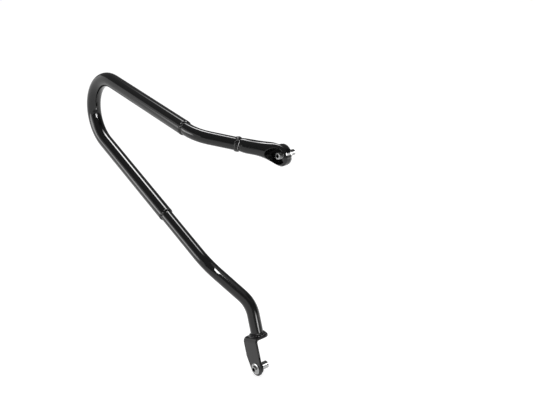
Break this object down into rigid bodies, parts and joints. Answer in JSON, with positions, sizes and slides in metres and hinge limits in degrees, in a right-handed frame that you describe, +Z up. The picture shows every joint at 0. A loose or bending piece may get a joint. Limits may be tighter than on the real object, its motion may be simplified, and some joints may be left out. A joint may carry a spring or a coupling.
{
  "type": "motorcycle pannier frame",
  "caption": "Bent-tube hoop that holds a soft pannier away from a motorcycle's wheel, with a forged eye and stud above and a folded bracket and bolt below.",
  "frame": {"origin": "on the upper stud's axis, at the washer face that bears against the motorcycle", "axes": "+X to the front of the motorcycle, +Y inboard along the stud's axis, +Z up"},
  "size_m": [0.3951, 0.1111, 0.4089],
  "materials": {
    "powder_coat": "gloss black powder coat on steel",
    "bright_zinc": "bright zinc plate on steel"
  },
  "bodies": {
    "root": {"hoop_tube": "powder_coat", "upper_arm_tube": "powder_coat", "lower_arm_tube": "powder_coat", "upper_sleeve_weld": "powder_coat", "lower_sleeve_weld": "powder_coat", "upper_socket": "powder_coat", "socket_weld": "powder_coat", "upper_stud": "bright_zinc", "upper_washer": "bright_zinc", "lower_bracket": "powder_coat", "leg_weld": "powder_coat", "lower_bolt": "bright_zinc", "lower_nut": "powder_coat"}
  },
  "joints": []
}
